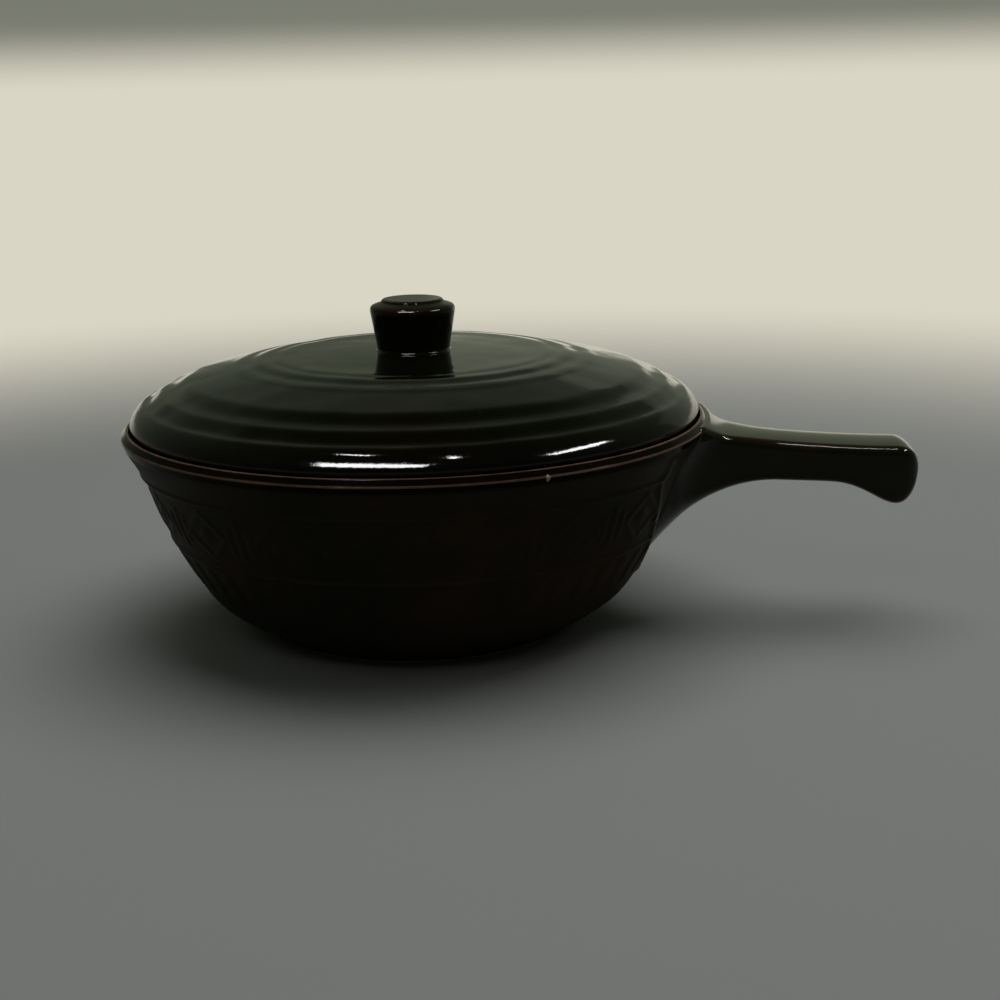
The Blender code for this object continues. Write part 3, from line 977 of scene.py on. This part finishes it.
def handle_section(x):
    """Rounded section of the handle at x, as a ring of points."""
    size = section_sizes(x)
    depth = size.top - size.under
    half = (size.half_top + size.half_under) / 2
    side_room = min(size.half_top, size.half_under) * SIDE_ROUND_SHARE
    edge_width = min(HANDLE_EDGE_WIDTH, side_room)
    edge_depth = min(HANDLE_EDGE_DEPTH, depth * EDGE_ROUND_SHARE)
    under_round = min(size.under_radius, depth * UNDER_ROUND_SHARE, side_room)
    upper = quarter((half - edge_width, size.top - edge_depth), edge_width, edge_depth, 90)
    lower = quarter((half - under_round, size.under + under_round), under_round, under_round, 0)
    shares = [step / HANDLE_SIDE_STEPS for step in range(HANDLE_SIDE_STEPS)]
    flat_top = [Vector((upper[0].x * share, size.top)) for share in shares]
    side = [upper[-1].lerp(lower[0], share) for share in shares[1:]]
    flat_under = [Vector((lower[-1].x * (1 - share), size.under)) for share in shares[1:]]
    right = flat_top + upper + side + lower + flat_under
    left = [Vector((-point.x, point.y)) for point in reversed(right[1:])]
    ring = []
    for point in right + [Vector((0, size.under))] + left:
        up_share = (point.y - size.under) / depth
        fullness = (size.half_under + (size.half_top - size.half_under) * up_share) / half
        upper_share = max(1 - (size.top - point.y) / edge_depth, 0)
        crown = HANDLE_CROWN * size.narrowing * upper_share * (1 - (point.x / half) ** 2)
        ring.append((RIM_RADIUS + x, point.x * fullness, HANDLE_TOP_Z + point.y + crown))
    return ring


def loft_faces(rings, count):
    """Faces between rings of points, closed at both ends by a point."""
    near = np.arange(count)
    far = (near + 1) % count
    faces = []
    for ring in range(rings - 1):
        first = ring * count
        second = first + count
        faces += np.stack([first + near, second + near, second + far, first + far], axis=1).tolist()
    start = rings * count
    end = start + 1
    last = (rings - 1) * count
    faces += [[start, int(near[i]), int(far[i])] for i in range(count)]
    faces += [[end, int(last + far[i]), int(last + near[i])] for i in range(count)]
    return faces


def outward(points, faces):
    """Outward unit normals of a mesh's points."""
    mesh = bpy.data.meshes.new("normals")
    mesh.from_pydata(points.tolist(), [], faces)
    normals = np.zeros(len(points) * 3, np.float32)
    mesh.vertex_normals.foreach_get("vector", normals)
    bpy.data.meshes.remove(mesh)
    return normals.reshape(-1, 3)


def spread_root(points, normals):
    """Spread the handle's root along the wall, most where it meets it, as a fillet of slip."""
    radius = np.hypot(points[:, 0], points[:, 1])
    heights = np.clip(points[:, 2], 0, BOWL_HEIGHT)
    wall = wall_radii(heights)
    slope = (wall_radii(heights + WALL_RING) - wall) / WALL_RING
    away = (radius - wall) / np.hypot(1, slope)
    near = np.clip(1 - away / ROOT_FILLET, 0, 1) ** ROOT_FILLET_POWER
    wall_out = np.stack([points[:, 0] / radius, points[:, 1] / radius, -slope], axis=1)
    wall_out /= np.linalg.norm(wall_out, axis=1)[:, None]
    # A point goes along the wall the way its normal leans, and less where it hardly leans
    along = normals - wall_out * (normals * wall_out).sum(axis=1)[:, None]
    along /= np.maximum(np.linalg.norm(along, axis=1), LEAST_LEAN)[:, None]
    ceiling = CREST_Z - ROOT_TOP_BELOW_CREST
    reach = np.full(len(points), ROOT_FILLET * ROOT_FILLET_SHARE)
    upward = along[:, 2] > LEAST_UPWARD
    reach[upward] = np.minimum(reach[upward], (ceiling - points[upward, 2]) / along[upward, 2])
    points += along * (near * reach)[:, None]
    points[:, 2] = np.minimum(points[:, 2], ceiling)


def sink_root(points):
    """Keep the end of the handle's root inside the wall, out of the bowl's hollow."""
    radius = np.hypot(points[:, 0], points[:, 1])
    least = wall_radii(np.clip(points[:, 2], 0, BOWL_HEIGHT)) - ROOT_SINK
    points[:, :2] *= np.maximum(least / radius, 1)[:, None]


def make_handle():
    """The handle, lofted from its sections and closed at both ends."""
    rings = np.array([handle_section(x) for x in handle_stations()])
    count = rings.shape[1]
    centres = rings.mean(axis=1)
    caps = [rings[-1] + (centres[-1] - rings[-1]) * step / CAP_RINGS for step in range(1, CAP_RINGS)]
    rings = np.concatenate([rings, caps])
    points = np.concatenate([rings.reshape(-1, 3), centres[:1], centres[-1:]])
    faces = loft_faces(len(rings), count)
    spread_root(points, outward(points, faces))
    sink_root(points)
    return mesh_object("handle_fine", points.tolist(), faces, "dish", "handle_glaze", "handle")


def make_floor():
    """A plain pale floor under the foot, which fades out into the backdrop."""
    material = bpy.data.materials.new("floor")
    tree = Nodes(material)
    shader = tree.nodes["Principled BSDF"]
    tree.feed(shader.inputs["Base Color"], FLOOR_COLOR)
    tree.feed(shader.inputs["Roughness"], FLOOR_ROUGHNESS)
    tree.feed(shader.inputs["Specular IOR Level"], FLOOR_GLOSS)
    distance = tree.add("VectorMath")
    distance.operation = "LENGTH"
    tree.feed(distance.inputs[0], tree.add("TexCoord").outputs["Object"])
    fade = tree.step(distance.outputs["Value"], FLOOR_FADE, "SMOOTHSTEP")
    clear = tree.add("BsdfTransparent").outputs[0]
    mix = tree.add("MixShader")
    for socket, value in zip(mix.inputs, (fade, shader.outputs[0], clear)):
        tree.feed(socket, value)
    tree.feed(tree.nodes["Material Output"].inputs["Surface"], mix.outputs[0])
    bpy.ops.mesh.primitive_plane_add(size=FLOOR_SIZE)
    floor = bpy.context.object
    floor.name = "floor"
    floor.data.materials.append(material)


def make_world():
    """Soft light from all round, with a pale backdrop behind the object and below the horizon."""
    world = bpy.data.worlds.new("room")
    bpy.context.scene.world = world
    tree = Nodes(world)
    toward = tree.add("SeparateXYZ", Vector=tree.add("TexCoord").outputs["Generated"]).outputs
    level = tree.math("MULTIPLY_ADD", toward["X"], ROOM_RIGHT, ROOM_LEVEL)
    level = tree.math("MULTIPLY_ADD", toward["Y"], ROOM_BEHIND, level)
    room = tree.add("VectorMath")
    room.operation = "SCALE"
    tree.feed(room.inputs[0], tree.ramp(toward["Z"], *zip(*ROOM_LIGHT)))
    tree.feed(room.inputs["Scale"], tree.math("MAXIMUM", level, ROOM_LEAST))
    behind = tree.step(toward["Y"], BACKDROP_SIDES, "SMOOTHSTEP")
    low = tree.step(toward["Z"], BACKDROP_TOP, "SMOOTHSTEP")
    color = tree.blend(tree.math("MULTIPLY", behind, low), room.outputs[0], BACKDROP)
    tree.feed(tree.nodes["Background"].inputs["Color"], color)


def make_lamps():
    """Soft rectangular lamps, placed round the object from the camera's side."""
    for name, turn, rise, distance, width, height, radiance, color, job in LAMPS:
        data = bpy.data.lights.new(name, "AREA")
        data.color = color
        data.shape = "RECTANGLE"
        data.size = width
        data.size_y = height
        data.energy = radiance * width * height * math.pi
        azimuth = CAMERA_AZIMUTH + math.radians(turn)
        flat = distance * math.cos(math.radians(rise))
        up = distance * math.sin(math.radians(rise))
        lamp = bpy.data.objects.new(name, data)
        lamp.location = (flat * math.sin(azimuth), -flat * math.cos(azimuth), up)
        lamp.rotation_euler = lamp.location.to_track_quat("Z", "Y").to_euler()
        lamp.visible_camera = False
        lamp.visible_glossy = job == "gloss"
        lamp.visible_diffuse = job == "light"
        bpy.context.scene.collection.objects.link(lamp)


def make_camera():
    """The camera of the photograph."""
    data = bpy.data.cameras.new("camera")
    data.sensor_width = SENSOR_WIDTH
    data.sensor_fit = "HORIZONTAL"
    data.lens = SENSOR_WIDTH * FOCAL_PIXELS / IMAGE_PIXELS
    camera = bpy.data.objects.new("camera", data)
    place = Vector((math.sin(CAMERA_AZIMUTH), -math.cos(CAMERA_AZIMUTH), 0)) * CAMERA_DISTANCE
    place.z = CAMERA_HEIGHT
    look = (Vector((0, 0, AIM_HEIGHT)) - place).to_track_quat("-Z", "Y").to_matrix()
    aside = AIM_PIXEL[0] - IMAGE_PIXELS / 2
    below = AIM_PIXEL[1] - IMAGE_PIXELS / 2
    turn = Matrix.Rotation(-math.atan(aside / FOCAL_PIXELS), 3, "Y")
    tilt = Matrix.Rotation(-math.atan(below / math.hypot(FOCAL_PIXELS, aside)), 3, "X")
    roll = Matrix.Rotation(CAMERA_ROLL, 3, "Z")
    aimed = (turn @ tilt @ roll @ look.transposed()).transposed()
    camera.matrix_world = Matrix.LocRotScale(place, aimed, None)
    bpy.context.scene.collection.objects.link(camera)
    bpy.context.scene.camera = camera


def main():
    """Make the pieces, their glaze, the room and the camera."""
    bpy.context.scene.view_settings.view_transform = "Standard"
    make_camera()
    make_world()
    make_lamps()
    make_floor()
    make_bowl()
    make_lid()
    make_knob()
    make_handle()


main()
